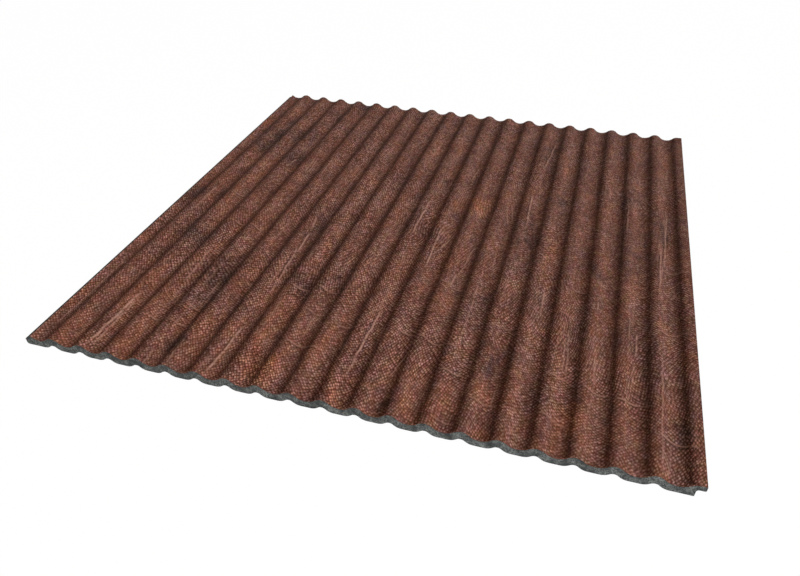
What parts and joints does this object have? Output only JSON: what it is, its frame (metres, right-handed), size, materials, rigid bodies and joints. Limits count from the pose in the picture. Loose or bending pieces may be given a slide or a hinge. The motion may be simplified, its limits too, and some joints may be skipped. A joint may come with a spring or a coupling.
{
  "type": "wave profile wall panel",
  "caption": "Square sample of a fluted wall panel: a grey foamed plastic board with a waved leather-look film face, grooved back and a shiplap edge.",
  "frame": {"origin": "middle of the back, on the plane of the feet that lie against the wall", "axes": "+X across the waves from the ledge to the lip, +Y along the waves, +Z out of the wall through the waved face"},
  "size_m": [0.3028, 0.3046, 0.0066],
  "materials": {
    "foam_core": "matte granular foam, dark grey, as cut",
    "leather_film": "matte to satin, reddish brown pebbled leather print"
  },
  "bodies": {
    "root": {"core_board": "foam_core", "leather_film": "leather_film"}
  },
  "joints": []
}
